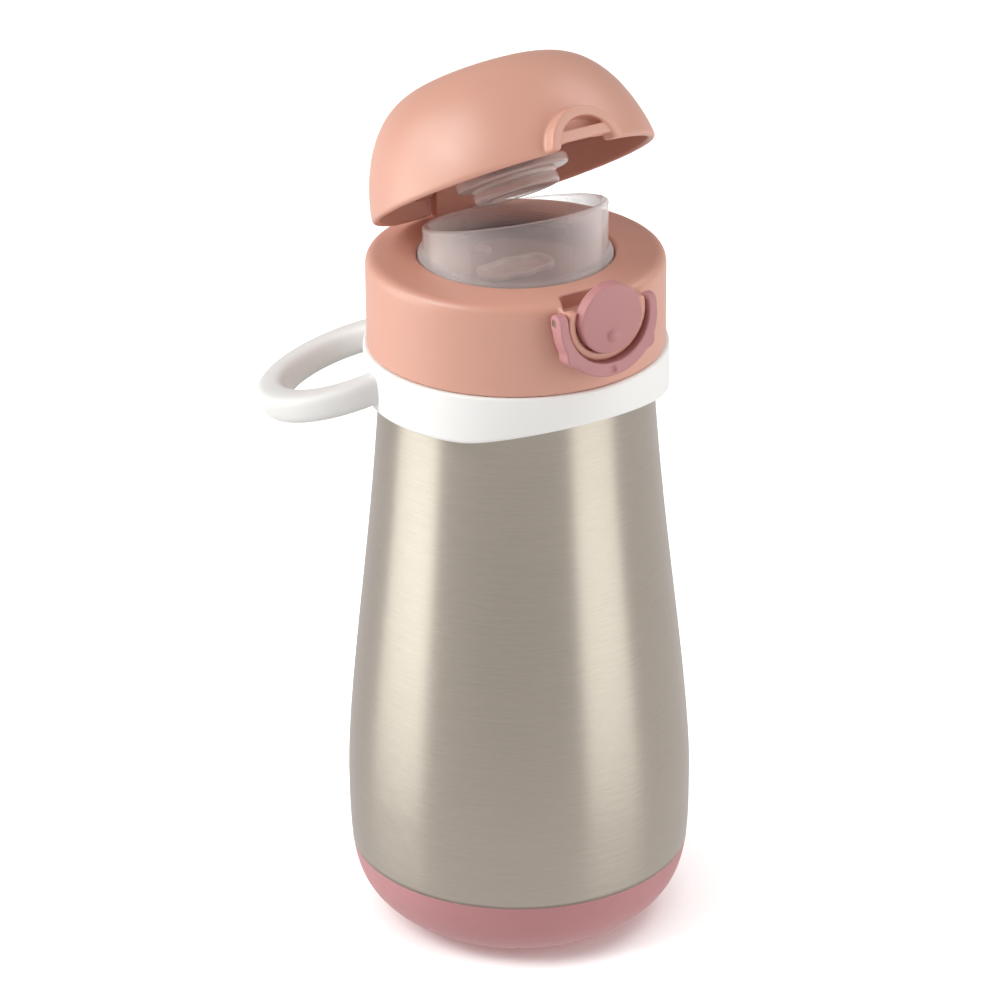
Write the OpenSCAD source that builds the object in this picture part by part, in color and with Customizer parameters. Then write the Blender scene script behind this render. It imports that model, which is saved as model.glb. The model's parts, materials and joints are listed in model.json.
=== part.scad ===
// Insulated drinking bottle for a small child.
// A double-walled steel bottle stands in a silicone boot and wears a carry ring
// round its neck. Its screw cap holds a soft slanted spout, a hinged domed lid,
// a push-button catch and a lock bail that swings up over the catch.
// Origin: centre of the flat underside. +Z is up and the catch faces -Y.

/* [Bottle] */
// Radius at the widest point of the bottle
belly_r = 39.65; // [39:0.05:41]
// Radius of the flat underside
base_r = 27.1; // [26:0.1:28]
// Height at which the tapered body turns in to the neck
shoulder_z = 136; // [135:0.1:136.5]
// Thickness of each steel wall
steel_t = 0.7; // [0.5:0.1:0.8]
// Width of the vacuum gap between the two steel walls
vacuum_gap = 3.7; // [3:0.1:4]
// Height of the silicone boot round the base
boot_h = 17.6; // [14:0.1:22]
// Thickness of the silicone boot
boot_t = 1.8; // [1.4:0.1:2.2]

/* [Neck] */
// Outer radius of the neck
neck_r = 27; // [26.9:0.05:27.05]
// Height of the lip of the mouth
neck_top = 153; // [152.8:0.1:153]
// Rise of the screw thread in one turn
thread_lead = 6; // [5.5:0.1:6.5]

/* [Cap] */
// Outer radius of the collar
collar_r = 33.5; // [33.4:0.05:33.6]
// Height of the collar's lower edge
collar_bottom = 141.9; // [141.9:0.1:142.4]
// Height of the collar's upper face
collar_top = 163.1; // [163:0.05:163.2]
// Radius of the hole that the spout stands in
collar_hole_r = 22.2; // [22:0.05:22.6]

/* [Spout] */
// Outer radius of the spout's cup
cup_r = 20.6; // [20:0.1:20.8]
// Wall thickness of the spout's cup
cup_t = 1.4; // [1.2:0.1:1.6]
// Height of the rim above the collar at the front
rim_front = 14.5; // [12:0.1:15]
// Height of the rim above the collar at the back
rim_back = 3.3; // [3:0.1:4]

/* [Lid] */
// Radius of the lid's rim
lid_r = 32.7; // [32.4:0.05:32.9]
// Height of the dome above its rim
lid_h = 26.2; // [25:0.1:28]
// Wall thickness of the dome
lid_t = 1.8; // [1.6:0.1:2]
// Angle at which the lid stands open
lid_open = 31.8; // [20:0.1:60]
// Distance of the hinge pin behind the bottle's axis
hinge_y = 27.9; // [27.8:0.05:28]
// Height of the hinge pin
hinge_z = 170.8; // [170.7:0.05:170.9]

/* [Catch] */
// Height of the centre of the round button
latch_z = 159.4; // [159.3:0.05:159.5]
// Radius of the button's disc
button_r = 7.9; // [7.7:0.05:7.9]
// Height of the pin that the button and the bail turn on
pivot_z = 160; // [159.9:0.05:160.1]
// Distance of that pin in front of the bottle's axis
pivot_y = 34.2; // [34.1:0.05:34.3]

/* [Carry ring] */
// Outer radius of the band
band_r = 34.3; // [34.1:0.05:34.5]
// Thickness of the loop
loop_t = 6.7; // [6:0.1:7]
// Radius of the loop's centreline
loop_r = 19; // [18:0.1:20]
// Distance of the loop's centre from the bottle's axis
loop_reach = 37.4; // [37:0.1:38.5]
// Angle at which the loop slopes down, away from the bottle
loop_drop = 18.8; // [15:0.1:20]
// Direction in which the loop points, counted from +X
loop_dir = 137.6; // [130:0.1:145]

/* [Hidden] */

$fn = 96;

// Colours
salmon = [0.87, 0.62, 0.53];
dusky_pink = [0.74, 0.48, 0.48];
steel = [0.72, 0.69, 0.65];
milky = [0.88, 0.86, 0.86, 0.6];
off_white = [0.95, 0.95, 0.95];

// Body curve: a cosine fall from the belly, closed in by a soft foot
belly_z = 34.65;    // height of the widest point
taper_len = 131.7;  // length of the cosine's half wave
taper_end_r = 29.9; // radius at which the half wave ends
taper_skew = 0.779; // below 1, the body thins soonest just above the belly
foot_len = 5.32;    // height over which the foot fills out to 63 percent
foot_round = 1.285; // above 1, the foot starts upright at the underside

// Bottle
boot_floor = 2.2;
weld_z = 9;           // seam of the shell and the base cap, inside the boot
neck_foot_z = shoulder_z + 1.6;
neck_inner_r = neck_r - 2.2;
vessel_bottom = 8.5;
vessel_corner = 12;   // radius of the vessel's lower corner
getter_r = 5;
getter_h = 1.6;

// Screw thread
ridge_depth = 1.1;
ridge_root = 1.9;     // width of a ridge at its root
ridge_tip = 1;        // width of a ridge at its tip
ridge_sink = 0.25;    // how far a ridge's root sinks into its wall
thread_gap = 0.35;
thread_z = 143.2;     // where the neck's ridge starts
neck_turns = 1.5;
liner_turns = 1;
liner_lag = 0.5;      // the liner's ridge runs half a lead above the neck's

// Cap
collar_t = 2.4;
collar_plate_t = 2.5;
shoulder_r = 2.3;     // rounding of the collar's upper edge
top_fall = 0.3;       // fall of the collar's upper face towards its edge
liner_in_r = neck_r + ridge_depth + thread_gap;
liner_out_r = liner_in_r + 1.15;
liner_bottom = collar_bottom + 1.3;
seal_bottom = neck_top + 0.1;
seal_h = 1.6;
liner_plate_z = seal_bottom + seal_h + 0.1;
liner_plate_t = 1.8;
spout_floor_z = liner_plate_z + liner_plate_t + 0.2;
spout_floor_t = 1.4;
spout_seat_r = 17.5;  // hole in the liner's plate, below the spout's floor
pocket_back = 27.4;   // the pocket reaches in to this distance from the axis
pocket_back_w = 14;
pocket_front = 33.6;
pocket_front_w = 19.2;

// Spout
foot_r = collar_hole_r - 0.4;
cup_in_r = cup_r - cup_t;
rim_tilt = atan((rim_front - rim_back) / (2 * cup_r));
valve_l = 13;         // length of the flow valve's slot in the floor
valve_w = 6;
vent_y = 13.5;
vent_r = 1.2;

// Lid, drawn shut in its own frame: z = 0 at the rim
lid_gap = 0.25;       // gap between the rim and the collar when shut
lid_seat = collar_top + lid_gap;
dome_n = 3.9;         // squareness of the dome in plan radius
dome_m = 1.46;        // squareness of the dome in height
dome_steps = 28;
axis_up = hinge_z - lid_seat;
hinge_pin_r = 1.2;
hinge_pin_l = 18;
post_w = 8.8;
post_r = 2.4;
ear_r = 3;
run_gap = 0.05;       // radial clearance of a running fit
arch_r = 9.2;
arch_drop = 0.9;      // how far the arch's centre lies below the rim
arch_front = pivot_y + 0.2;
arch_lip = 2.3;
bar_low = 1.3;
bar_h = 2.5;
notch_w = 12.4;       // notch below the bar, for the button's nose
stem_r = 6.2;
stem_bottom = 3;
stem_h = 6;
boss_r = 7.6;
carrier_r = 12.8;     // disc that carries the soft plug
carrier_bottom = 0.7;
stud_r = 3;           // stud that the plug is pushed on to
stud_bottom = -1.6;
plug_r = 9.75;
plug_bottom = -2.9;

// Catch
housing_r = 10;
housing_front = pivot_y + 1.9;
housing_back = 29.8;
cavity_r = button_r + 0.4;
cavity_back = 30.6;
latch_pin_r = 0.8;
latch_pin_l = 25.2;
hub_r = 1.7;
button_back = 34.9;
button_t = 3;
button_dome = 0.5;
bump_z = latch_z - 3.4;
spring_z = latch_z - 4.6;
spring_r = 1.5;
spring_wire = 0.4;
spring_turns = 4;
bail_in_r = housing_r + 0.5;
bail_w = 2.2;
bail_t = 2.5;         // thickness in front of the pin
bail_back = 1.2;      // thickness behind the pin
bail_lean = 7;        // the bail leans out from its pin by this angle
knuckle_r = 2;

// Carry ring
band_bottom = 130;
band_top = collar_bottom - 0.3;
band_in_r = 31.4;
ledge_in_r = neck_r + ridge_depth + 0.5;
ledge_z = neck_foot_z + 0.4;
band_round = 0.8;
chin_y = 21.5;        // the lower edge rises in front of this distance
chin_slope = 17.2;
loop_z = 132.5;
loop_corner = 2.2;

function clamp01(t) = min(max(t, 0), 1);

// Radius of the outside of the bottle at height z
function taper_r(z) = taper_end_r + (belly_r - taper_end_r)
    * (1 + cos(180 * pow(clamp01((z - belly_z) / taper_len), taper_skew))) / 2;
function body_r(z) = base_r + (taper_r(z) - base_r) * pow(1 - exp(-z / foot_len), foot_round);

// Points of the body's outline from z0 to z1, moved in by inset
function body_line(z0, z1, steps, inset) =
    [for (i = [0:steps]) let (z = z0 + (z1 - z0) * i / steps) [body_r(z) - inset, z]];

function reversed(line) = [for (i = [len(line) - 1:-1:0]) line[i]];

// Points of an arc about (cx, cy)
function arc(cx, cy, r, from, to, steps = 8) =
    [for (i = [0:steps]) let (a = from + (to - from) * i / steps) [cx + r * cos(a), cy + r * sin(a)]];

// Half outline of the dome: a superellipse from the rim to the top
function dome_line(r, h) =
    [for (i = [0:dome_steps]) let (t = 90 * i / dome_steps)
        [i == dome_steps ? 0 : r * pow(cos(t), 2 / dome_n), h * pow(sin(t), 2 / dome_m)]];

// A cylinder of radius r along X, centred on (0, y, z)
module x_rod(r, length, y, z, x = 0) {
    translate([x, y, z]) rotate([0, 90, 0]) cylinder(r = r, h = length, center = true);
}

// A cylinder of radius r that faces -Y, from depth y0 to y1 in front of the axis
module front_rod(r, y0, y1, x, z) {
    translate([x, -y0, z]) rotate([90, 0, 0]) cylinder(r = r, h = y1 - y0);
}

// Extrudes an outline drawn in the XZ plane, from depth y0 to y1 in front of the axis
module front_plate(y0, y1) {
    translate([0, -y0, 0]) rotate([90, 0, 0]) linear_extrude(height = y1 - y0) children();
}

// A box given by its low and high corners
module span(low, high) {
    translate(low) cube(high - low);
}

// Slot with round ends, of overall length l and width w
module slot_2d(l, w) {
    square([l - w, w], center = true);
    for (side = [-1, 1]) translate([side * (l - w) / 2, 0]) circle(d = w);
}

// Rounded square outline
module soft_square(side, corner) {
    square([side, side - 2 * corner], center = true);
    square([side - 2 * corner, side], center = true);
    for (x = [-1, 1], y = [-1, 1])
        translate([x, y] * (side / 2 - corner)) circle(r = corner);
}

// Helical ridge that stands from wall_r to tip_r, in rings of four points
module thread_ridge(wall_r, tip_r, z0, turns) {
    steps = ceil(turns * 36);
    fade = 3; // rings over which each end of the ridge sinks into its wall
    away = tip_r > wall_r ? 1 : -1;
    rings = [for (i = [0:steps]) let (
        a = 360 * turns * i / steps,
        z = z0 + thread_lead * turns * i / steps,
        rise = min(1, (min(i, steps - i) + 0.6) / fade),
        root = wall_r - away * ridge_sink,
        tip = wall_r + (tip_r - wall_r) * rise
    ) [
        [root * cos(a), root * sin(a), z - ridge_root / 2],
        [tip * cos(a), tip * sin(a), z - ridge_tip / 2],
        [tip * cos(a), tip * sin(a), z + ridge_tip / 2],
        [root * cos(a), root * sin(a), z + ridge_root / 2]
    ]];
    points = [for (ring = rings, p = ring) p];
    last = 4 * steps;
    outward = away > 0;
    faces = concat(
        [outward ? [3, 2, 1, 0] : [0, 1, 2, 3]],
        [outward ? [last, last + 1, last + 2, last + 3] : [last + 3, last + 2, last + 1, last]],
        [for (i = [0:steps - 1], k = [0:3]) let (
            p = 4 * i + k, q = 4 * i + (k + 1) % 4
        ) outward ? [p, q, q + 4, p + 4] : [p, p + 4, q + 4, q]]
    );
    polyhedron(points, faces, convexity = 6);
}

// ---- Bottle

module outer_shell() {
    color(steel) union() {
        rotate_extrude() polygon(concat(
            body_line(weld_z, boot_h, 8, boot_t),
            body_line(boot_h, shoulder_z - 1, 48, 0),
            arc(body_r(shoulder_z - 1) - 1.2, shoulder_z - 1, 1.2, 15, 90, 4),
            [[neck_r, neck_foot_z], [neck_r, neck_top - steel_t]],
            [[neck_r - steel_t, neck_top - steel_t], [neck_r - steel_t, neck_foot_z - 0.6]],
            [[body_r(shoulder_z) - 2.2, shoulder_z - steel_t - 0.3]],
            reversed(body_line(boot_h + 1, shoulder_z - 2.5, 40, steel_t)),
            reversed(body_line(weld_z, boot_h - 0.5, 8, boot_t + steel_t))
        ));
        thread_ridge(neck_r, neck_r + ridge_depth, thread_z, neck_turns);
    }
}

module inner_vessel() {
    inset = 2 * steel_t + vacuum_gap;
    out_r = body_r(vessel_bottom + vessel_corner) - inset + steel_t;
    in_corner = vessel_corner - steel_t;
    color(steel) rotate_extrude() polygon(concat(
        [[0, vessel_bottom]],
        arc(out_r - vessel_corner, vessel_bottom + vessel_corner, vessel_corner, -90, 0),
        body_line(vessel_bottom + vessel_corner + 2, shoulder_z - 6, 32, inset - steel_t),
        [[neck_inner_r + steel_t, neck_foot_z + 1], [neck_inner_r + steel_t, neck_top - steel_t]],
        [[neck_r, neck_top - steel_t], [neck_r, neck_top - 0.2], [neck_r - 0.2, neck_top]],
        [[neck_inner_r + 0.3, neck_top], [neck_inner_r, neck_top - 0.3]],
        [[neck_inner_r, neck_foot_z + 0.7]],
        reversed(body_line(vessel_bottom + vessel_corner + 2, shoulder_z - 6, 32, inset)),
        reversed(arc(out_r - vessel_corner, vessel_bottom + vessel_corner, in_corner, -90, 0)),
        [[0, vessel_bottom + steel_t]]
    ));
}

module vacuum_base_cap() {
    dimple_r = 3;
    color(steel) rotate_extrude() polygon(concat(
        [[0, boot_floor + 0.4], [dimple_r, boot_floor + 0.4], [dimple_r + 0.6, boot_floor]],
        body_line(boot_floor, weld_z, 8, boot_t),
        reversed(body_line(boot_floor + steel_t, weld_z, 8, boot_t + steel_t)),
        [[0, boot_floor + steel_t + 0.4]]
    ));
}

module vacuum_getter() {
    color([0.35, 0.35, 0.36]) translate([0, 0, boot_floor + steel_t + 0.4])
        cylinder(r = getter_r, h = getter_h);
}

module base_boot() {
    lip = 0.3; // rounding of the boot's upper edge
    color(dusky_pink) rotate_extrude() polygon(concat(
        [[0, 0]],
        body_line(0, boot_h - lip, 24, 0),
        [[body_r(boot_h) - lip, boot_h]],
        reversed(body_line(boot_floor, boot_h, 20, boot_t)),
        [[0, boot_floor]]
    ));
}

// ---- Carry ring

module carry_band() {
    color(off_white) difference() {
        rotate_extrude() polygon(concat(
            [[band_in_r, band_bottom]],
            arc(band_r - band_round, band_bottom + band_round, band_round, -90, 0),
            arc(band_r - band_round, band_top - band_round, band_round, 0, 90),
            [[ledge_in_r, band_top], [ledge_in_r, ledge_z], [band_in_r, ledge_z]]
        ));
        // the lower edge rises towards the front
        translate([0, -chin_y, band_bottom]) rotate([-chin_slope, 0, 0])
            span([-40, -40, -20], [40, 0, 0]);
    }
}

module carry_loop() {
    color([0.9, 0.9, 0.9]) difference() {
        rotate([0, 0, loop_dir]) translate([loop_reach, 0, loop_z]) rotate([0, loop_drop, 0])
            rotate_extrude() translate([loop_r, 0]) soft_square(loop_t, loop_corner);
        translate([0, 0, 100]) cylinder(r = band_r, h = 60);
    }
}

// ---- Cap

module bottle_seal() {
    color([0.93, 0.93, 0.93]) rotate_extrude() polygon([
        [neck_inner_r - 0.4, seal_bottom + 0.3],
        [neck_inner_r - 0.1, seal_bottom],
        [neck_r + 0.3, seal_bottom],
        [neck_r + 0.6, seal_bottom + 0.3],
        [neck_r + 0.6, seal_bottom + seal_h],
        [neck_inner_r - 0.4, seal_bottom + seal_h]
    ]);
}

// Slot behind the button, open at the top, that narrows away from the front
module catch_pocket_2d(grow) {
    back = pocket_back_w / 2 + grow;
    front = pocket_front_w / 2 + grow;
    polygon([
        [-back, -pocket_back + grow], [back, -pocket_back + grow],
        [front, -pocket_front], [-front, -pocket_front]
    ]);
}

module collar() {
    pocket_floor = collar_top - 3.9;
    color(salmon) difference() {
        union() {
            rotate_extrude() polygon(concat(
                [[collar_r - collar_t, collar_bottom]],
                arc(collar_r - 0.5, collar_bottom + 0.5, 0.5, -90, 0, 4),
                arc(collar_r - shoulder_r, collar_top - top_fall - shoulder_r, shoulder_r, 0, 84, 10),
                arc(collar_hole_r + 0.5, collar_top - 0.5, 0.5, 90, 180, 4),
                [[collar_hole_r, collar_top - collar_plate_t]],
                [[collar_r - collar_t, collar_top - collar_plate_t]]
            ));
            // round housing of the button, cut level with the shoulder
            intersection() {
                front_rod(housing_r, housing_back, housing_front, 0, latch_z);
                span([-20, -40, 140], [20, 0, collar_top - 1]);
            }
            // floor and back wall of the pocket behind the button
            translate([0, 0, pocket_floor - 0.9]) linear_extrude(height = 2.6) intersection() {
                catch_pocket_2d(1.2);
                circle(r = collar_r - 1);
            }
            // post of the lid's hinge
            span([-post_w / 2, hinge_y - post_r, collar_top - 1], [post_w / 2, hinge_y + post_r, hinge_z]);
            x_rod(post_r, post_w, hinge_y, hinge_z);
        }
        front_rod(cavity_r, cavity_back, 40, 0, latch_z);
        translate([0, 0, pocket_floor]) linear_extrude(height = 10) catch_pocket_2d(0);
        x_rod(hinge_pin_r, post_w + 2, hinge_y, hinge_z);
        x_rod(latch_pin_r, 2 * housing_r + 2, -pivot_y, pivot_z);
    }
}

module threaded_liner() {
    plug_in_r = neck_inner_r - 2.2;
    plug_out_r = neck_inner_r - 0.8;
    color([0.86, 0.85, 0.84]) difference() {
        union() {
            rotate_extrude() polygon([
                [liner_in_r, liner_bottom],
                [liner_out_r, liner_bottom],
                [liner_out_r, liner_plate_z],
                [collar_r - collar_t, liner_plate_z],
                [collar_r - collar_t, liner_plate_z + liner_plate_t],
                [spout_seat_r, liner_plate_z + liner_plate_t],
                [spout_seat_r, liner_plate_z],
                [plug_in_r, liner_plate_z],
                [plug_in_r, neck_top - 4],
                [plug_out_r - 0.3, neck_top - 4],
                [plug_out_r, neck_top - 3.5],
                [plug_out_r, liner_plate_z],
                [liner_in_r, liner_plate_z]
            ]);
            thread_ridge(liner_in_r, neck_r + thread_gap, thread_z + liner_lag * thread_lead, liner_turns);
        }
        // clear of the button's housing
        span([-housing_r - 0.5, -40, liner_plate_z - 1], [housing_r + 0.5, -liner_out_r + 0.1, 170]);
    }
}

module spout() {
    floor_top = spout_floor_z + spout_floor_t;
    flange_r = collar_hole_r + 1.6;
    flange_top = collar_top - collar_plate_t - 0.1;
    flare = foot_r - cup_r + 0.2; // radius of the soft corner where the cup meets its foot
    tall = 40;
    color(milky) difference() {
        rotate_extrude() polygon(concat(
            [[0, floor_top], [cup_in_r - 1, floor_top]],
            arc(cup_in_r - 1, floor_top + 1, 1, -90, 0, 5),
            [[cup_in_r, tall + floor_top], [cup_r, tall + floor_top]],
            arc(cup_r + flare, collar_top + flare, flare, 180, 250, 6),
            [[foot_r, collar_top - 0.4]],
            [[foot_r, flange_top], [flange_r, flange_top], [flange_r, spout_floor_z]],
            [[0, spout_floor_z]]
        ));
        // slanted rim, high at the front
        translate([0, 0, collar_top + (rim_front + rim_back) / 2]) rotate([-rim_tilt, 0, 0])
            span([-50, -50, 0], [50, 50, 60]);
        translate([0, 0, spout_floor_z - 1]) linear_extrude(height = 4) slot_2d(valve_l, valve_w);
        translate([0, vent_y, spout_floor_z - 1]) cylinder(r = vent_r, h = 4);
    }
}

module flow_valve() {
    top = spout_floor_z + spout_floor_t;
    color([0.93, 0.91, 0.91, 0.7]) difference() {
        union() {
            translate([0, 0, spout_floor_z]) linear_extrude(height = spout_floor_t)
                slot_2d(valve_l, valve_w);
            translate([0, 0, top]) linear_extrude(height = 0.7) slot_2d(valve_l + 4, valve_w + 4);
            translate([0, 0, top + 0.7]) linear_extrude(height = 0.8) difference() {
                slot_2d(valve_l + 3, valve_w + 3);
                slot_2d(valve_l, valve_w);
            }
        }
        // slit that opens when the child drinks
        translate([0, 0, top]) cube([valve_l - 5, 0.4, 12], center = true);
    }
}

module vent_valve() {
    top = spout_floor_z + spout_floor_t;
    color([0.93, 0.91, 0.91, 0.7]) translate([0, vent_y, 0]) {
        translate([0, 0, spout_floor_z]) cylinder(r = vent_r, h = spout_floor_t);
        translate([0, 0, top]) rotate_extrude() polygon(concat(
            [[0, 0], [2.2, 0]], arc(1.4, 0.3, 0.8, 20, 90, 4), [[0, 1.1]]
        ));
    }
}

module hinge_pin() {
    color([0.75, 0.75, 0.76]) x_rod(hinge_pin_r, hinge_pin_l, hinge_y, hinge_z);
}

module latch_pin() {
    color([0.75, 0.75, 0.76]) x_rod(latch_pin_r, latch_pin_l, -pivot_y, pivot_z);
}

// Coil that pushes the lower half of the button out
module button_spring() {
    length = button_back - cavity_back - 2 * spring_wire;
    rings_per_turn = 12;
    sides = 6;
    steps = spring_turns * rings_per_turn;
    points = [for (i = [0:steps], k = [0:sides - 1]) let (
        a = 360 * i / rings_per_turn,
        b = 360 * k / sides,
        r = spring_r + spring_wire / 2 * cos(b)
    ) [r * cos(a), -cavity_back - spring_wire - length * i / steps + spring_wire / 2 * sin(b),
        spring_z + r * sin(a)]];
    faces = concat(
        [[for (k = [sides - 1:-1:0]) k]],
        [[for (k = [0:sides - 1]) steps * sides + k]],
        [for (i = [0:steps - 1], k = [0:sides - 1]) let (
            p = i * sides + k, q = i * sides + (k + 1) % sides
        ) [p, q, q + sides, p + sides]]
    );
    color([0.75, 0.75, 0.76]) polyhedron(points, faces, convexity = 6);
}

// ---- Lid

// Puts what is drawn in the shut lid's frame at the angle the lid stands at
module lid_place() {
    translate([0, hinge_y, hinge_z]) rotate([-lid_open, 0, 0])
        translate([0, -hinge_y, lid_seat - hinge_z]) children();
}

module dome_solid(inset) {
    rotate_extrude() polygon(concat([[0, 0]], dome_line(lid_r - inset, lid_h - inset)));
}

module arch_2d(r) {
    intersection() {
        translate([0, -arch_drop]) circle(r = r);
        translate([-20, 0]) square([40, 20]);
    }
}

module lid_shell() {
    window_top = 12.2;
    relief_r = axis_up - 0.1;
    ear_x = (hinge_pin_l + post_w + 1) / 4;
    ear_w = (hinge_pin_l - post_w - 1) / 2;
    arch_in_r = arch_r - arch_lip;
    color(salmon) lid_place() {
        difference() {
            union() {
                difference() {
                    union() {
                        dome_solid(0);
                        front_plate(24, arch_front) arch_2d(arch_r);
                    }
                    translate([0, 0, -0.01]) dome_solid(lid_t);
                }
                intersection() {
                    translate([0, 0, stem_bottom + 0.2]) cylinder(r = boss_r, h = lid_h);
                    dome_solid(lid_t / 2);
                }
                // ears that turn on the hinge pin, each with a web to the wall
                for (side = [-1, 1]) {
                    x_rod(ear_r, ear_w, hinge_y, axis_up, side * ear_x);
                    intersection() {
                        translate([side * ear_x - ear_w / 2, hinge_y, axis_up - ear_r])
                            cube([ear_w, 6, 2 * ear_r]);
                        dome_solid(lid_t / 2);
                    }
                }
            }
            // pocket inside the arch, and the notch below the bar
            front_plate(31, 40) translate([0, -0.01]) arch_2d(arch_in_r);
            span([-notch_w / 2, -40, -1], [notch_w / 2, -24, bar_low]);
            // slot for the hinge post
            span([-post_w / 2 - 0.5, hinge_y - 4, -1], [post_w / 2 + 0.5, 40, window_top]);
            // the wall behind the hinge is rounded about the pin
            difference() {
                span([-16, hinge_y, -1], [16, 40, axis_up]);
                x_rod(relief_r, 40, hinge_y, axis_up);
            }
            x_rod(hinge_pin_r + run_gap, hinge_pin_l + 2, hinge_y, axis_up);
            translate([0, 0, stem_bottom]) cylinder(r = stem_r, h = stem_h + 1);
        }
        // bar that the button's nose holds down
        front_plate(32.4, 34) translate([-arch_in_r, bar_low]) square([2 * arch_in_r, bar_h]);
    }
}

module plug_holder() {
    color(milky) lid_place() {
        translate([0, 0, carrier_bottom])
            cylinder(r = carrier_r, h = stem_bottom - carrier_bottom);
        translate([0, 0, stem_bottom]) cylinder(r = stem_r, h = stem_h);
        translate([0, 0, stud_bottom]) cylinder(r = stud_r, h = carrier_bottom - stud_bottom);
    }
}

module seal_plug() {
    color(milky) lid_place() difference() {
        translate([0, 0, plug_bottom]) cylinder(r = plug_r, h = carrier_bottom - plug_bottom);
        translate([0, 0, stud_bottom]) cylinder(r = stud_r, h = 4);
    }
}

// ---- Button and bail

module latch_button() {
    front = button_back + button_t;
    nose_front = 36.3;
    nose_w = 6.4;
    nose_rise = 0.2;
    nose_gap = 0.2; // between the nose and the shut lid's arch
    bump_r = 1.6;
    bump_h = 1.3;
    color(dusky_pink) difference() {
        union() {
            front_rod(button_r, button_back, front, 0, latch_z);
            // shallow dome on the face
            front_rod(button_r - 0.7, front, front + button_dome / 2, 0, latch_z);
            front_rod(button_r - 2.6, front, front + button_dome, 0, latch_z);
            // thumb bump low on the face
            front_rod(bump_r, front, front + bump_h, 0, bump_z);
            // nose over the lid's bar
            span([-nose_w / 2, -nose_front, latch_z + button_r - 1],
                [nose_w / 2, -arch_front - nose_gap, latch_z + button_r + nose_rise]);
            x_rod(hub_r, 2 * (cavity_r - 0.7), -pivot_y, pivot_z);
        }
        x_rod(latch_pin_r + run_gap, 2 * cavity_r, -pivot_y, pivot_z);
    }
}

module lock_bail() {
    out_r = bail_in_r + bail_w;
    tip_r = 1.5;  // rounded corners low on each side
    tip_x = 10.1;
    tip_z = latch_z - 7.7;
    dimple_r = 0.9;
    dimple_z = latch_z - 11.8;
    drop = 0.9; // the lowest stretch is the widest
    color(dusky_pink) difference() {
        union() {
            translate([0, -pivot_y, pivot_z]) rotate([-bail_lean, 0, 0])
                translate([0, pivot_y, -pivot_z]) difference() {
                    front_plate(pivot_y - bail_back, pivot_y + bail_t) difference() {
                        union() {
                            translate([0, latch_z - drop]) circle(r = out_r);
                            translate([-out_r, latch_z - drop]) square([2 * out_r, pivot_z - latch_z + drop]);
                            for (side = [-1, 1])
                                translate([side * tip_x, tip_z]) circle(r = tip_r);
                        }
                        translate([0, latch_z]) circle(r = bail_in_r);
                        translate([-bail_in_r, latch_z]) square([2 * bail_in_r, 20]);
                        translate([-20, pivot_z]) square([40, 20]);
                    }
                    // thumb dimple at the lowest point
                    front_rod(dimple_r, pivot_y + bail_t - 0.5, pivot_y + bail_t + 2, 0, dimple_z);
                }
            for (side = [-1, 1])
                x_rod(knuckle_r, bail_w + 0.1, -pivot_y, pivot_z, side * (bail_in_r + bail_w / 2));
        }
        // the back follows the collar's wall
        translate([0, 0, collar_bottom]) cylinder(r = collar_r + 1.1, h = 40);
        x_rod(latch_pin_r + run_gap, 40, -pivot_y, pivot_z);
    }
}

outer_shell();
inner_vessel();
vacuum_base_cap();
vacuum_getter();
base_boot();
carry_band();
carry_loop();
bottle_seal();
collar();
threaded_liner();
spout();
flow_valve();
vent_valve();
hinge_pin();
latch_pin();
button_spring();
lid_shell();
plug_holder();
seal_plug();
latch_button();
lock_bail();
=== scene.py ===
"""Insulated drinking bottle for a small child: the visual model.

Shapes are worked out in millimetres and turned into metres when a mesh is made.
Turned pieces are swept outlines. Moulded pieces are distance fields with soft
fillets, whose zero surface is meshed. The lid is drawn shut and then opened.
"""

import json
import math

import bpy
import numpy as np
from mathutils import Matrix, Vector


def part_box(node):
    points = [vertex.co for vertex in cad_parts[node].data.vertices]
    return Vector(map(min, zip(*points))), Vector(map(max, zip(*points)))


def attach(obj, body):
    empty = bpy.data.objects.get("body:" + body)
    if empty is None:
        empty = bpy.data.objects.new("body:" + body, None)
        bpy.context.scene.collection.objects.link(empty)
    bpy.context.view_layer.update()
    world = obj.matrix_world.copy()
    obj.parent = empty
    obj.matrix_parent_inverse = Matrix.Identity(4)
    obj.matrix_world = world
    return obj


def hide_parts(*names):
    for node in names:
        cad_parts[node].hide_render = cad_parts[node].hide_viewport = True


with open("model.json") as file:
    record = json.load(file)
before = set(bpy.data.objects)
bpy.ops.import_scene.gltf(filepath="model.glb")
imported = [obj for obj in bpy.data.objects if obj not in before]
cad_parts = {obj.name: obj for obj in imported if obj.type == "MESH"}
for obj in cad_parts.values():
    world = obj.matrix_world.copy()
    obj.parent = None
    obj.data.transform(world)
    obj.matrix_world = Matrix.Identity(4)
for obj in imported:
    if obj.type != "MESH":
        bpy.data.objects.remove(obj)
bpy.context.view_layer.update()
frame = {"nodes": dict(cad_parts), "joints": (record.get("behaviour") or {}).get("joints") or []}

MM = 0.001


# ---- Sizes; some are read from the frame, the rest are given as numbers

def low(node):
    return [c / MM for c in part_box(node)[0]]


def high(node):
    return [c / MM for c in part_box(node)[1]]


JOINTS = {j["name"]: j for j in frame["joints"]}
HINGE_Y, HINGE_Z = [c / MM for c in JOINTS["lid_hinge"]["pos_m"][1:]]
PIVOT_Y, PIVOT_Z = [c / MM for c in JOINTS["bail_swing"]["pos_m"][1:]]
LID_OPEN = math.radians(-JOINTS["lid_hinge"]["range_deg"][0])

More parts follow.
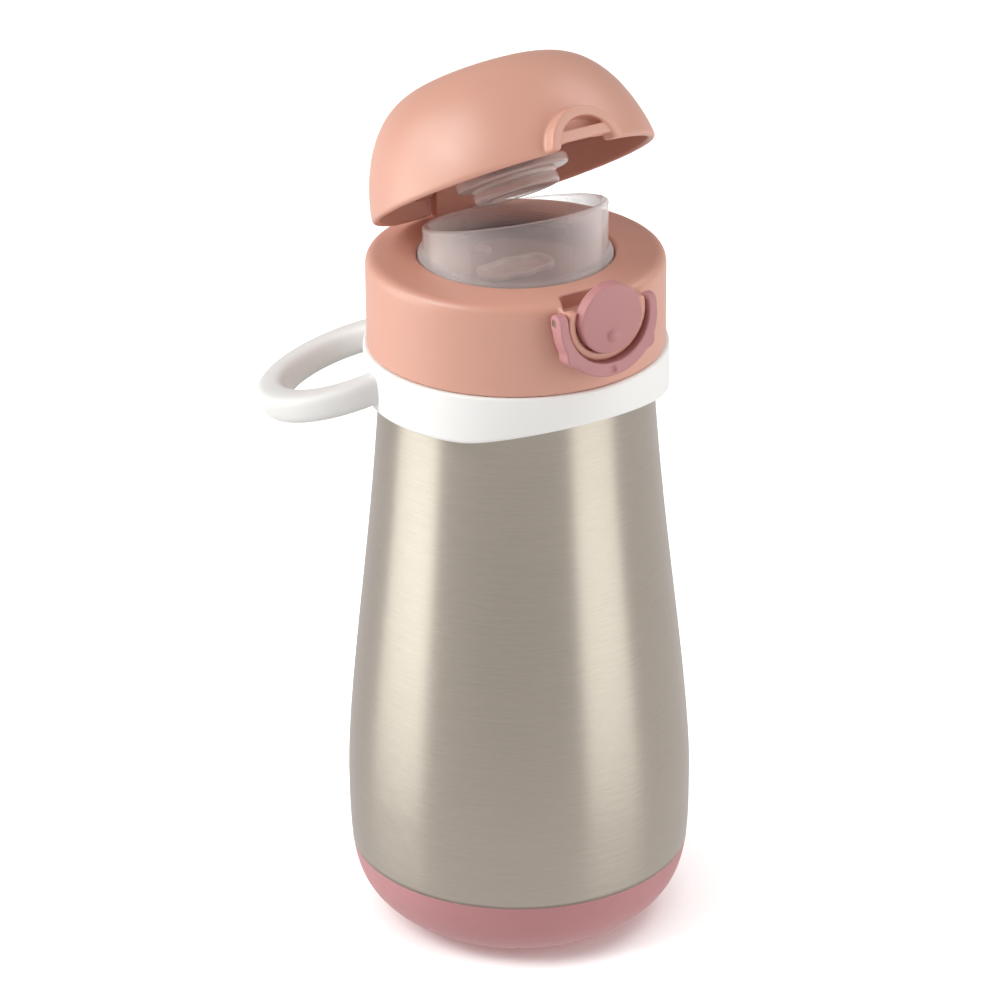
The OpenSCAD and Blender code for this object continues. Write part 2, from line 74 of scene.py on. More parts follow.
BELLY_R = 39.65                      # the body tapers from BELLY_R to WAIST_R between two heights
WAIST_R = 29.9
TAPER_LOW = 34.65
TAPER_HIGH = TAPER_LOW + 131.7
TAPER_BEND = 0.779
FOOT_R = 27.1                        # the body's rounding towards its foot
FOOT_REACH = 5.32
FOOT_BEND = 1.285
BOOT_TOP = high("base_boot")[2]
BOOT_THICK = 1.8
SHOULDER_Z = low("collar")[2] - 5.9
NECK_TOP = high("inner_vessel")[2]
NECK_R = 27.0
STEEL_THICK = 0.7

COLLAR_R = high("collar")[0]
COLLAR_BOTTOM = low("collar")[2]
AXIS_UP = 7.45                       # height of the hinge pin above the lid's rim
HINGE_PIN_R = 1.2
LID_SEAT = HINGE_Z - AXIS_UP         # height of the shut lid's rim
COLLAR_TOP = LID_SEAT - 0.25
HOLE_R = 22.2
COLLAR_WALL = 2.4
COLLAR_PLATE = 2.5
TOP_FALL = 0.3                       # fall of the collar's upper face towards its edge

BUTTON_R = high("latch_button")[0]
BUTTON_Z = low("latch_button")[2] + BUTTON_R
HOUSING_R = 10.0
CAVITY_R = BUTTON_R + 0.4
HOUSING_FRONT = -PIVOT_Y + 1.9
HOUSING_BACK = 29.8
CAVITY_BACK = 30.6
LATCH_PIN_R = 0.8
POCKET_BACK = 27.4                   # the pocket behind the button, as distances from the axis
POCKET_FRONT = 33.6
POCKET_BACK_HALF = 7.0               # half widths of the pocket
POCKET_FRONT_HALF = 9.6
POCKET_DEPTH = 3.9
PLATE_BACK = 34.9                    # back and front of the button's disc
PLATE_FRONT = 37.9
CROWN = 0.5
BUMP_DROP = 3.5                      # the bump, coil and pit lie this far below the button's centre
SPRING_DROP = 4.6
PIT_DROP = 12.1
BAIL_LEAN = math.radians(7)
BAIL_IN_R = HOUSING_R + 0.5
BAIL_OUT_R = BAIL_IN_R + 2.2
BAIL_FRONT = 2.5                     # the bail's faces, in front of and behind its pin
BAIL_BACK = 1.2
POST_HALF = 4.4
POST_R = 2.4

CUP_R = 20.6
CUP_WALL = 1.4
RIM_FRONT = 14.5
RIM_BACK = 3.3
SPOUT_FLOOR = low("spout")[2]
FLOOR_TOP = SPOUT_FLOOR + 1.4

LID_R = 32.7
LID_H = 26.19
LID_WALL = 1.8
DOME_N = 3.9                         # squareness of the dome in plan radius
DOME_M = 1.46                        # squareness of the dome in height
ARCH_R = 9.2
ARCH_DROP = 0.7
ARCH_FRONT = -PIVOT_Y + 0.2
ARCH_LIP = 2.3
BAR_LOW = 1.3
BAR_HEIGHT = 2.5
BAR_BACK = 32.4
BAR_FRONT = 34.0
NOTCH_HALF = 6.2                     # notch below the bar, for the button's nose
EAR_MID = 6.95                       # the hinge ears' middle and half width
EAR_HALF = 2.05
EAR_R = 3.0
BOSS_R = 7.6                         # the boss that holds the plug's stem
STEM_R = 6.2
CARRIER_LOW = 0.7
CARRIER_HIGH = 3.0
STEM_TOP = 9.0

BAND_R = 34.3
BAND_BOTTOM = low("carry_band")[2]
BAND_TOP = high("carry_band")[2]
BAND_IN_R = 31.4
CHIN_Y = 21.5                        # the band's lower edge rises in front of this distance
CHIN_SLOPE = math.tan(math.radians(17.2))
LOOP_DIR = math.radians(137.6)
LOOP_DROP = math.radians(18.8)
LOOP_REACH = 37.4
LOOP_R = 19.0
LOOP_Z = 132.5
LOOP_THICK = 6.7


# ---- Materials

def linear(r, g, b):
    """A display colour, given in 0 to 255, as a scene colour."""
    def channel(c):
        c /= 255
        return c / 12.92 if c <= 0.04045 else ((c + 0.055) / 1.055) ** 2.4
    return (channel(r), channel(g), channel(b), 1)


class Shader:
    """A node material with one Principled shader and the links that the finishes share."""

    def __init__(self, name):
        self.material = bpy.data.materials.new(name)
        self.material.use_nodes = True
        self.tree = self.material.node_tree
        self.bsdf = self.tree.nodes["Principled BSDF"]
        self.place = self.add("ShaderNodeTexCoord").outputs["Object"]

    def add(self, kind, **values):
        node = self.tree.nodes.new(kind)
        for key, value in values.items():
            setattr(node, key, value)
        return node

    def link(self, a, b):
        self.tree.links.new(a, b)

    def set(self, **values):
        for key, value in values.items():
            self.bsdf.inputs[key.replace("_", " ")].default_value = value
        return self

    def noise(self, scale, detail=3, stretch=(1, 1, 1), roughness=0.5):
        mapping = self.add("ShaderNodeMapping")
        mapping.inputs["Scale"].default_value = stretch
        self.link(self.place, mapping.inputs["Vector"])
        node = self.add("ShaderNodeTexNoise")
        node.inputs["Scale"].default_value = scale
        node.inputs["Detail"].default_value = detail
        node.inputs["Roughness"].default_value = roughness
        self.link(mapping.outputs["Vector"], node.inputs["Vector"])
        return node.outputs["Fac"]

    def ramp(self, value, low_out, high_out, low_in=0.3, high_in=0.7):
        node = self.add("ShaderNodeMapRange")
        limits = {"From Min": low_in, "From Max": high_in, "To Min": low_out, "To Max": high_out}
        for key, limit in limits.items():
            node.inputs[key].default_value = limit
        self.link(value, node.inputs["Value"])
        return node.outputs["Result"]

    def colour(self, value, dark, light, socket="Base Color"):
        node = self.add("ShaderNodeMix", data_type="RGBA")
        node.inputs["A"].default_value = dark
        node.inputs["B"].default_value = light
        self.link(value, node.inputs["Factor"])
        self.link(node.outputs["Result"], self.bsdf.inputs[socket])
        return self

    def bump(self, height, strength, distance):
        node = self.add("ShaderNodeBump")
        node.inputs["Strength"].default_value = strength
        node.inputs["Distance"].default_value = distance
        self.link(height, node.inputs["Height"])
        self.link(node.outputs["Normal"], self.bsdf.inputs["Normal"])
        return self


def scaled(colour, k):
    return tuple(c * k for c in colour[:3]) + (1,)


def moulded(name, colour, rough=(0.36, 0.46), spread=0.03, grain=0.03, **values):
    """Satin moulded plastic: faint flow mottling, uneven gloss and a fine spark-eroded grain."""
    s = Shader(name)
    mottle = s.noise(34, 4)
    s.colour(s.ramp(mottle, 0, 1), scaled(colour, 1 - spread), scaled(colour, 1 + spread))
    s.link(s.ramp(s.noise(150, 5, roughness=0.6), *rough), s.bsdf.inputs["Roughness"])
    s.bump(s.noise(5200, 2), grain, 0.00004)
    return s.set(**values).material


def silicone(name, colour, rough=(0.5, 0.62), spread=0.035, grain=0.06, **values):
    """Soft silicone: a dry fine surface with light dust and handling marks."""
    s = Shader(name)
    dust = s.ramp(s.noise(60, 6, roughness=0.62), 0, 1)
    s.colour(dust, scaled(colour, 1 - spread), scaled(colour, 1 + spread))
    s.link(s.ramp(s.noise(420, 4), *rough), s.bsdf.inputs["Roughness"])
    s.bump(s.noise(2600, 3), grain, 0.00006)
    return s.set(**values).material


def clear_silicone(name, colour, alpha, **values):
    """Milky see-through silicone: thicker, so less clear, where it is seen edge on."""
    s = Shader(name)
    s.colour(s.ramp(s.noise(45, 4), 0, 1), scaled(colour, 0.95), scaled(colour, 1.03))
    s.link(s.ramp(s.noise(170, 5, roughness=0.6), 0.08, 0.2), s.bsdf.inputs["Roughness"])
    facing = s.add("ShaderNodeLayerWeight")
    facing.inputs["Blend"].default_value = 0.42
    cloud = s.noise(70, 4)
    add = s.add("ShaderNodeMath", operation="MULTIPLY_ADD")
    s.link(cloud, add.inputs[0])
    add.inputs[1].default_value = 0.25
    s.link(facing.outputs["Facing"], add.inputs[2])
    s.link(s.ramp(add.outputs["Value"], alpha[0], alpha[1], 0.15, 0.95), s.bsdf.inputs["Alpha"])
    s.bump(s.noise(900, 3), 0.05, 0.00008)
    return s.set(**values).material


def brushed(name, colour, rough=(0.27, 0.37), anisotropic=0.72):
    """Satin steel, brushed round the Z axis with fine broken lines over longer, fainter ones."""
    s = Shader(name)
    lines = s.noise(240, 5, stretch=(1, 1, 14), roughness=0.75)
    coarse = s.noise(60, 4, stretch=(1, 1, 40), roughness=0.7)
    cloud = s.noise(24, 5, roughness=0.6)
    both = s.add("ShaderNodeMath", operation="MULTIPLY_ADD")
    s.link(coarse, both.inputs[0])
    both.inputs[1].default_value = 0.5
    s.link(lines, both.inputs[2])
    s.colour(s.ramp(both.outputs["Value"], 0, 1, 0.5, 1.0), scaled(colour, 0.9), scaled(colour, 1.06))
    mixed = s.add("ShaderNodeMath", operation="MULTIPLY_ADD")
    s.link(cloud, mixed.inputs[0])
    mixed.inputs[1].default_value = 0.6
    s.link(lines, mixed.inputs[2])
    s.link(s.ramp(mixed.outputs["Value"], *rough, 0.5, 1.1), s.bsdf.inputs["Roughness"])
    s.bump(lines, 0.16, 0.00003)
    tangent = s.add("ShaderNodeTangent", direction_type="RADIAL", axis="Z")
    s.link(tangent.outputs["Tangent"], s.bsdf.inputs["Tangent"])
    return s.set(Metallic=1.0, Anisotropic=anisotropic, Anisotropic_Rotation=0.25).material


SALMON = linear(222, 165, 146)

steel = brushed("body_steel", linear(186, 178, 167))
inner_steel = brushed("inner_steel", linear(190, 186, 180), (0.3, 0.42), 0.5)
salmon_lid = moulded("lid_salmon", SALMON, (0.34, 0.43), Subsurface_Weight=0.08,
    Subsurface_Scale=0.0015, Specular_IOR_Level=0.75)
salmon_cap = moulded("collar_salmon", SALMON, (0.34, 0.43), Subsurface_Weight=0.08,
    Subsurface_Scale=0.0015, Specular_IOR_Level=0.75)
latch_pink = moulded("latch_pink", linear(197, 138, 140), (0.42, 0.52), grain=0.05)
boot_pink = silicone("boot_pink", linear(194, 134, 137), Sheen_Weight=0.1)
band_white = moulded("band_white", linear(252, 251, 250), (0.42, 0.5), 0.01)
loop_white = silicone("loop_white", linear(234, 233, 232), (0.45, 0.55), 0.012)
spout_milk = clear_silicone("spout_milk", linear(250, 242, 242), (0.16, 0.66))
plug_milk = clear_silicone("plug_milk", linear(246, 230, 226), (0.3, 0.85))
valve_milk = clear_silicone("valve_milk", linear(248, 236, 234), (0.6, 0.95))
seal_milk = clear_silicone("seal_milk", linear(232, 230, 228), (0.7, 0.96))
liner_grey = moulded("liner_grey", linear(214, 211, 208), (0.35, 0.45))
pin_steel = brushed("pin_steel", linear(205, 205, 206), (0.16, 0.26), 0.2)
getter_metal = brushed("getter_metal", linear(120, 120, 122), (0.45, 0.6), 0.0)


# ---- Mesh helpers

def new_piece(name, points, faces, body, material, nodes=()):
    """Makes a mesh from points in millimetres, smooth-shaded, on a body."""
    mesh = bpy.data.meshes.new(name)
    points = np.asarray(points, float) * MM
    mesh.from_pydata(points.tolist(), [], [list(map(int, f)) for f in faces])
    mesh.update()
    mesh.polygons.foreach_set("use_smooth", [True] * len(mesh.polygons))
    mesh.materials.append(material)
    piece = bpy.data.objects.new(name, mesh)
    bpy.context.scene.collection.objects.link(piece)
    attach(piece, body)
    if nodes:
        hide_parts(*nodes)
    return piece


def arc(cx, cy, r, start, end, steps=8):
    """Points of an arc about (cx, cy), from one angle in degrees to another."""
    angles = np.radians(np.linspace(start, end, steps + 1))
    return [(cx + r * math.cos(a), cy + r * math.sin(a)) for a in angles]


def grid_faces(rows, columns, wrap_rows=False):
    """Quads of a grid of points whose columns close on themselves."""
    faces = []
    for i in range(rows if wrap_rows else rows - 1):
        for j in range(columns):
            a, b = i * columns, (i + 1) % rows * columns
            k = (j + 1) % columns
            faces.append((a + j, a + k, b + k, b + j))
    return faces


def turned(outline, around=192, closed=True):
    """Points and faces of an outline turned about Z: (r, z) points, or a function of the angle."""
    rings = []
    for a in np.linspace(0, 2 * math.pi, around, endpoint=False):
        line = outline(a) if callable(outline) else outline
        rings.append([(r * math.cos(a), r * math.sin(a), z) for r, z in line])
    points = np.array(rings).transpose(1, 0, 2).reshape(-1, 3)
    return points, grid_faces(len(rings[0]), around, closed)


# ---- Distance fields, negative inside

def join(a, b, k=0.0):
    """Union, with a fillet of about k in the crease."""
    return np.minimum(a, b) if k <= 0 else np.minimum(a, b) - np.maximum(k - abs(a - b), 0) ** 2 / (4 * k)


def common(a, b, k=0.0):
    """Intersection, with its edge rounded over about k."""
    return -join(-a, -b, k)


def cut(a, b, k=0.0):
    """a without b, with its edge rounded over about k."""
    return common(a, -b, k)


def block(x, y, z, lows, highs, k=0.0):
    """A box, with rounded edges."""
    parts = [common(lo - v, v - hi) for v, lo, hi in zip((x, y, z), lows, highs)]
    return common(common(parts[0], parts[1], k), parts[2], k)


def ball(u, v, w, r):
    """A sphere of radius r."""
    return np.sqrt(u ** 2 + v ** 2 + w ** 2) - r


def disc(u, v, w, r, lo, hi, k=0.0):
    """A round rod of radius r along w."""
    return common(np.hypot(u, v) - r, common(lo - w, w - hi), k)


def dome(x, y, z, inset):
    """The solid dome in the shut lid's frame, to first order near its surface."""
    r0, h0 = LID_R - inset, LID_H - inset
    r = np.maximum(np.hypot(x, y), 1e-3)
    up = np.maximum(z, 1e-2)
    a, b = (r / r0) ** DOME_N, (up / h0) ** DOME_M
    slope = np.hypot(DOME_N * a / r, DOME_M * b / up)
    return (a + b - 1) / np.maximum(slope, 0.004)


def surface(field, lows, highs, step):
    """Points and quads of the zero surface of field(x, y, z), drawn back onto it."""
    lows = np.asarray(lows, float)
    block_size = 8
    count = [int(math.ceil((b - a) / step / block_size)) for a, b in zip(lows, highs)]
    size = [c * block_size for c in count]
    values = np.full(size, 9.0, np.float32)
    reach = block_size * step * 1.6
    mids = [a + (np.arange(c) * block_size + block_size / 2) * step for a, c in zip(lows, count)]
    near = field(*np.meshgrid(*mids, indexing="ij"))
    offset = np.arange(block_size)
    signs = np.sign(near)
    for axis in range(3):
        signs = np.repeat(signs, block_size, axis)
    values *= signs
    cells = np.argwhere(abs(near) < reach)
    for chunk in np.array_split(cells, max(1, len(cells) // 400)):
        index = [chunk[:, i, None] * block_size + offset for i in range(3)]
        i, j, k = np.broadcast_arrays(
            index[0][:, :, None, None], index[1][:, None, :, None], index[2][:, None, None, :])
        values[i, j, k] = field(lows[0] + i * step, lows[1] + j * step, lows[2] + k * step)
    inside = values < 0
    shape = tuple(s - 1 for s in size)
    corners = [(a, b, c) for a in (0, 1) for b in (0, 1) for c in (0, 1)]
    total = np.zeros(shape, np.int8)
    for a, b, c in corners:
        total += inside[a:a + shape[0], b:b + shape[1], c:c + shape[2]]
    active = (total > 0) & (total < 8)
    cells = np.argwhere(active)
    number = np.full(shape, -1, np.int64)
    number[active] = np.arange(len(cells))
    at = {c: values[tuple((cells + c).T)] for c in corners}
    spot, hits = np.zeros((len(cells), 3)), np.zeros(len(cells))
    for a in corners:
        for axis in range(3):
            if a[axis]:
                continue
            b = tuple(1 if i == axis else v for i, v in enumerate(a))
            crossing = (at[a] < 0) != (at[b] < 0)
            t = np.where(crossing, at[a] / np.where(crossing, at[a] - at[b], 1), 0)
            for i in range(3):
                spot[:, i] += np.where(crossing, a[i] + (t if i == axis else 0), 0)
            hits += crossing
    points = lows + (cells + spot / hits[:, None]) * step
    faces = []
    for axis in range(3):
        u, v = [(1, 2), (2, 0), (0, 1)][axis]
        head = [slice(None)] * 3
        tail = [slice(None)] * 3
        head[axis], tail[axis] = slice(0, -1), slice(1, None)
        flip = inside[tuple(head)] != inside[tuple(tail)]
        edges = np.argwhere(flip)
        for across in (u, v):
            edges = edges[(edges[:, across] > 0) & (edges[:, across] < size[across] - 1)]
        ring = []
        for du, dv in ((1, 1), (0, 1), (0, 0), (1, 0)):
            cell = edges.copy()
            cell[:, u] -= du
            cell[:, v] -= dv
            ring.append(number[tuple(cell.T)])
        quads = np.stack(ring, 1)
        outward = inside[tuple(edges.T)]
        quads[~outward] = quads[~outward][:, ::-1]
        faces.append(quads)
    for _ in range(3):
        x, y, z = points.T
        d = field(x, y, z)
        e = 0.02
        slope = np.stack([
            field(x + e, y, z) - field(x - e, y, z),
            field(x, y + e, z) - field(x, y - e, z),
            field(x, y, z + e) - field(x, y, z - e)], 1) / (2 * e)
        length = np.maximum((slope ** 2).sum(1), 0.05)
        move = np.clip(d / length, -0.4 * step, 0.4 * step)
        points = points - slope * move[:, None]
    return points, np.concatenate(faces)


def opened(points):
    """Moves points from the shut lid's frame to where the open lid stands."""
    x, y, z = np.asarray(points, float).T
    y, z = y - HINGE_Y, z - AXIS_UP
    c, s = math.cos(LID_OPEN), math.sin(LID_OPEN)
    return np.stack([x, HINGE_Y + y * c + z * s, HINGE_Z - y * s + z * c], 1)


# ---- Bottle

def taper_r(z):
    t = min(max((z - TAPER_LOW) / (TAPER_HIGH - TAPER_LOW), 0), 1)
    return WAIST_R + (BELLY_R - WAIST_R) * (1 + math.cos(math.pi * t ** TAPER_BEND)) / 2


def body_r(z):
    """Radius of the bottle's outside at height z."""
    return FOOT_R + (taper_r(z) - FOOT_R) * (1 - math.exp(-z / FOOT_REACH)) ** FOOT_BEND


def body_line(z0, z1, steps, inset=0.0):
    return [(body_r(z) - inset, z) for z in np.linspace(z0, z1, steps + 1)]


def steel_body():
    outside = body_line(9, BOOT_TOP - 0.4, 8, BOOT_THICK + 0.02)
    outside += body_line(BOOT_TOP - 0.2, SHOULDER_Z - 1, 90)
    shoulder = arc(body_r(SHOULDER_Z - 1) - 1.2, SHOULDER_Z - 1, 1.2, 15, 90, 6)
    neck = [(NECK_R, SHOULDER_Z + 1.6), (NECK_R, NECK_TOP - STEEL_THICK)]
    in_r = NECK_R - STEEL_THICK
    inside = [(in_r, NECK_TOP - STEEL_THICK), (in_r, SHOULDER_Z + 1)]
    back = body_line(SHOULDER_Z - 2.5, BOOT_TOP + 1, 40, STEEL_THICK)
    back += body_line(BOOT_TOP - 0.5, 9, 8, BOOT_THICK + STEEL_THICK)
    points, faces = turned(outside + shoulder + neck + inside + back, 256)
    new_piece("steel_body", points, faces, "bottle", steel, ["outer_shell"])


def thread():
    """The neck's screw thread: a rounded ridge of one and a half turns that fades at both ends."""
    turns = 1.5
    lead = 6.0
    start = 143.2
    height = 1.1
    half_width = 0.95
    fade = 6                             # steps over which an end fades
    steps = int(turns * 72)
    points = []
    for i in range(steps + 1):
        a = 2 * math.pi * turns * i / steps
        rise = height * min(1, (min(i, steps - i) + 0.6) / fade)
        z = start + lead * turns * i / steps
        for s in np.linspace(-1, 1, 9):
            r = NECK_R - 0.25 + (rise + 0.25) * max(0, 1 - abs(s) ** 3)
            points.append((r * math.cos(a), r * math.sin(a), z + half_width * s))
        points.append(((NECK_R - 0.3) * math.cos(a), (NECK_R - 0.3) * math.sin(a), z))
    faces = grid_faces(steps + 1, 10)
    faces += [tuple(range(9, -1, -1)), tuple(steps * 10 + k for k in range(10))]
    new_piece("neck_thread", points, faces, "bottle", steel)


def boot():
    """Silicone boot with a rounded lip and a shallow recess under it."""
    lip_r = 0.45
    foot_round = 1.55
    lip = arc(body_r(BOOT_TOP) - lip_r, BOOT_TOP - lip_r, lip_r, 5, 175, 8)
    outside = body_line(1.2, BOOT_TOP - 0.6, 40)
    foot = [(16.5, 0.6), (18, 0.1), (20, 0), (24.5, 0)] + arc(25.6, foot_round, foot_round, -88, -22, 7)
    inside = body_line(BOOT_TOP - 0.9, 2.4, 20, BOOT_THICK - 0.05)
    points, faces = turned([(0.01, 0.6)] + foot + outside + lip + inside + [(0.01, 2.3)], 224)
    new_piece("silicone_boot", points, faces, "bottle", boot_pink, ["base_boot"])


# ---- Carry ring

def band():
    """Neck band whose lower edge rises towards the front."""
    low_round = 1.0
    top_round = 0.6
    top = BAND_TOP + 0.15
    ledge_r = 28.6                       # the band's inward ledge, which lies under the collar
    ledge_low = 138.0

    def outline(a):
        front = -BAND_R * math.sin(a) - CHIN_Y
        soft = (front + math.sqrt(front * front + 9)) / 2
        bottom = BAND_BOTTOM + CHIN_SLOPE * max(0, soft - 0.35)
        return ([(BAND_IN_R, bottom + 0.3), (BAND_IN_R + 0.3, bottom)]
                + arc(BAND_R - low_round, bottom + low_round, low_round, -90, 0)
                + arc(BAND_R - top_round, top - top_round, top_round, 0, 90)
                + [(ledge_r + 0.2, top), (ledge_r, top - 0.2), (ledge_r, ledge_low), (BAND_IN_R, ledge_low)])

    points, faces = turned(outline, 256)
    new_piece("neck_band", points, faces, "carry_ring", band_white, ["carry_band"])


def loop():
    """Soft loop: a rounded square section swept round a ring that slopes away from the band."""
    around, sides = 160, 40
    across = Matrix.Rotation(LOOP_DIR, 4, "Z") @ Matrix.Translation((LOOP_REACH, 0, LOOP_Z)) \
        @ Matrix.Rotation(LOOP_DROP, 4, "Y")
    half = LOOP_THICK / 2
    squareness = 0.6
    points = []
    for a in np.linspace(0, 2 * math.pi, around, endpoint=False):
        for b in np.linspace(0, 2 * math.pi, sides, endpoint=False):
            c, s = math.cos(b), math.sin(b)
            u = half * math.copysign(abs(c) ** squareness, c)
            w = half * math.copysign(abs(s) ** squareness, s)
            r = LOOP_R + u
            points.append(across @ Vector((r * math.cos(a), r * math.sin(a), w)))
    points = np.array(points)
    r = np.hypot(points[:, 0], points[:, 1])
    keep_r = BAND_R - 1.2
    scale = np.maximum(r, keep_r) / np.maximum(r, 1e-6)
    points[:, 0] *= scale
    points[:, 1] *= scale
    faces = grid_faces(around, sides, True)
    new_piece("carry_handle", points, faces, "carry_ring", loop_white, ["carry_loop"])


# ---- Cap

def collar_field(x, y, z):
    r = np.hypot(x, y)
    flat = COLLAR_TOP - TOP_FALL * np.clip((r - HOLE_R) / (COLLAR_R - HOLE_R), 0, 1)
    outside = common(common(r - COLLAR_R, z - flat, 2.6), COLLAR_BOTTOM - z, 0.3)
    hollow = common(r - (COLLAR_R - COLLAR_WALL), z - (COLLAR_TOP - COLLAR_PLATE))
    ring = cut(cut(outside, hollow, 0.3), r - HOLE_R, 0.9)
    front = -y
    housing = disc(x, z - BUTTON_Z, front, HOUSING_R, HOUSING_BACK, HOUSING_FRONT, 0.35)
    housing = common(housing, z - (COLLAR_TOP - 1), 0.3)
    flare = (POCKET_FRONT_HALF - POCKET_BACK_HALF) / (POCKET_FRONT - POCKET_BACK)
    square_on = 0.92                 # the flare's cosine, which makes side a true distance
    side = (abs(x) - POCKET_BACK_HALF - flare * (front - POCKET_BACK)) * square_on
    wall = 1.2
    pocket_walls = common(
        common(side - wall * square_on, common(POCKET_BACK - wall - front, r - COLLAR_R + 1)),
        common(COLLAR_TOP - POCKET_DEPTH - 0.9 - z, z - COLLAR_TOP + 1.2))
    post = block(x, y, z, (-POST_HALF, HINGE_Y - POST_R, COLLAR_TOP - 1),
                 (POST_HALF, HINGE_Y + POST_R, HINGE_Z))
    post = join(post, disc(y - HINGE_Y, z - HINGE_Z, x, POST_R, -POST_HALF, POST_HALF, 0.5))
    solid = join(join(join(ring, housing, 0.8), pocket_walls), post, 0.6)
    solid = cut(solid, disc(x, z - BUTTON_Z, front, CAVITY_R, CAVITY_BACK, 60), 0.35)
    pocket = common(side, common(POCKET_BACK - front, front - POCKET_FRONT), 0.8)
    pocket = common(pocket, COLLAR_TOP - POCKET_DEPTH - z, 0.6)
    solid = cut(solid, pocket, 0.45)
    solid = cut(solid, np.hypot(y - HINGE_Y, z - HINGE_Z) - HINGE_PIN_R)
    return cut(solid, common(np.hypot(y - PIVOT_Y, z - PIVOT_Z) - LATCH_PIN_R, -front))


def collar():
    points, faces = surface(
        collar_field, (-34.5, -36.5, COLLAR_BOTTOM - 1), (34.5, 34.5, HINGE_Z + 3.4), step=0.34)
    new_piece("cap_collar", points, faces, "cap", salmon_cap, ["collar"])


def spout():
    """Soft spout: a cup with a thick slanted rim on a flared foot."""
    slope = (RIM_FRONT - RIM_BACK) / (2 * CUP_R)
    middle = COLLAR_TOP + (RIM_FRONT + RIM_BACK) / 2
    rim = CUP_WALL / 2 + 0.12
    mid_r = CUP_R - CUP_WALL / 2
    foot_r = HOLE_R - 0.4
    flange_r = HOLE_R + 1.4
    flange_top = COLLAR_TOP - COLLAR_PLATE - 0.1

    def outline(a):
        top = middle - slope * CUP_R * math.sin(a)
        wall = [(CUP_R, z) for z in np.linspace(COLLAR_TOP + 1.8, top - 1.4, 10)]
        inner = [(CUP_R - CUP_WALL, z) for z in np.linspace(top - 1.4, FLOOR_TOP + 1.4, 10)]
        return ([(0.01, SPOUT_FLOOR), (flange_r, SPOUT_FLOOR), (flange_r, flange_top)]
                + [(foot_r, flange_top), (foot_r, COLLAR_TOP - 0.4)]
                + arc(CUP_R + 1.4, COLLAR_TOP + 1.4, 1.4, 250, 180, 8)
                + wall
                + arc(mid_r, top - rim, rim, -8, 188, 12)
                + inner
                + arc(CUP_R - CUP_WALL - 1.2, FLOOR_TOP + 1.2, 1.2, 0, -90, 6)
                + [(12, FLOOR_TOP), (6, FLOOR_TOP), (0.01, FLOOR_TOP)])

    points, faces = turned(outline, 224, closed=False)
    new_piece("spout_cup", points, faces, "cap", spout_milk, ["spout"])


def valve_field(x, y, z):
    """Wavy raised ridge round the valve's slit."""
    end_r = 4.0
    ridge_half = 0.75
    past_middle = np.maximum(abs(x) - 4.2, 0)
    wave = 0.55 * np.cos(x * 0.75)
    outline = np.hypot(past_middle, y) - end_r - wave
    ridge = abs(outline) - ridge_half
    solid = common(ridge, common(FLOOR_TOP - 0.3 - z, z - FLOOR_TOP - 1.5), 0.8)
    plate = common(outline, common(FLOOR_TOP - 0.2 - z, z - FLOOR_TOP - 0.45), 0.4)
    slit = block(x, y, z, (-4, -0.18, FLOOR_TOP - 1), (4, 0.18, FLOOR_TOP + 1))
    return cut(join(solid, plate, 0.5), slit)


def valve():
    points, faces = surface(valve_field, (-10, -6, FLOOR_TOP - 1), (10, 6, FLOOR_TOP + 2), step=0.2)
    new_piece("valve_ridge", points, faces, "cap", valve_milk, ["flow_valve"])


# ---- Lid

def lid_field(x, y, z):
    front = -y
    outer = dome(x, y, z, 0)
    hood = disc(x, z + ARCH_DROP, front, ARCH_R, 22, ARCH_FRONT, 0.7)
    body = common(join(outer, hood, 0.9), -z, 1.1)
    inner = dome(x, y, z, LID_WALL)
    shell = cut(body, inner, 0.9)
    middle = dome(x, y, z, LID_WALL / 2)
    boss = common(disc(x, y, z, BOSS_R, 3.2, LID_H, 0.5), middle)
    solid = join(shell, boss, 1.0)
    ear = abs(abs(x) - EAR_MID) - EAR_HALF
    from_pin = np.hypot(y - HINGE_Y, z - AXIS_UP)
    wheel = common(from_pin - EAR_R, ear, 0.4)
    web = common(common(common(ear, HINGE_Y - y), abs(z - AXIS_UP) - EAR_R), middle)
    solid = join(solid, join(wheel, web, 0.3), 0.5)
    hollow = common(np.hypot(x, z + ARCH_DROP) - (ARCH_R - ARCH_LIP), 31 - front, 0.4)
    solid = cut(solid, hollow, 0.55)
    solid = cut(solid, block(x, front, z, (-NOTCH_HALF, 24, -2), (NOTCH_HALF, 44, BAR_LOW)), 0.5)
    slot_half = POST_HALF + 0.5
    slot = block(x, y, z, (-slot_half, HINGE_Y - 4, -2), (slot_half, 44, 12.2), 0.8)
    solid = cut(solid, slot, 0.5)
    behind = block(x, y, z, (-16, HINGE_Y, -2), (16, 44, AXIS_UP))
    behind = cut(behind, from_pin - (AXIS_UP - 0.1))
    solid = cut(solid, behind, 0.4)
    solid = cut(solid, from_pin - HINGE_PIN_R - 0.05)
    solid = cut(solid, disc(x, y, z, STEM_R, 2, STEM_TOP + 1))
    bar_half = ARCH_R - 1.4
    bar = block(x, front, z, (-bar_half, BAR_BACK, BAR_LOW), (bar_half, BAR_FRONT, BAR_LOW + BAR_HEIGHT), 0.6)
    return join(solid, bar, 0.3)


def lid():
    points, faces = surface(lid_field, (-34, -36, -1.2), (34, 34.5, LID_H + 1.2), step=0.34)
    new_piece("lid_dome", opened(points), faces, "lid", salmon_lid, ["lid_shell"])


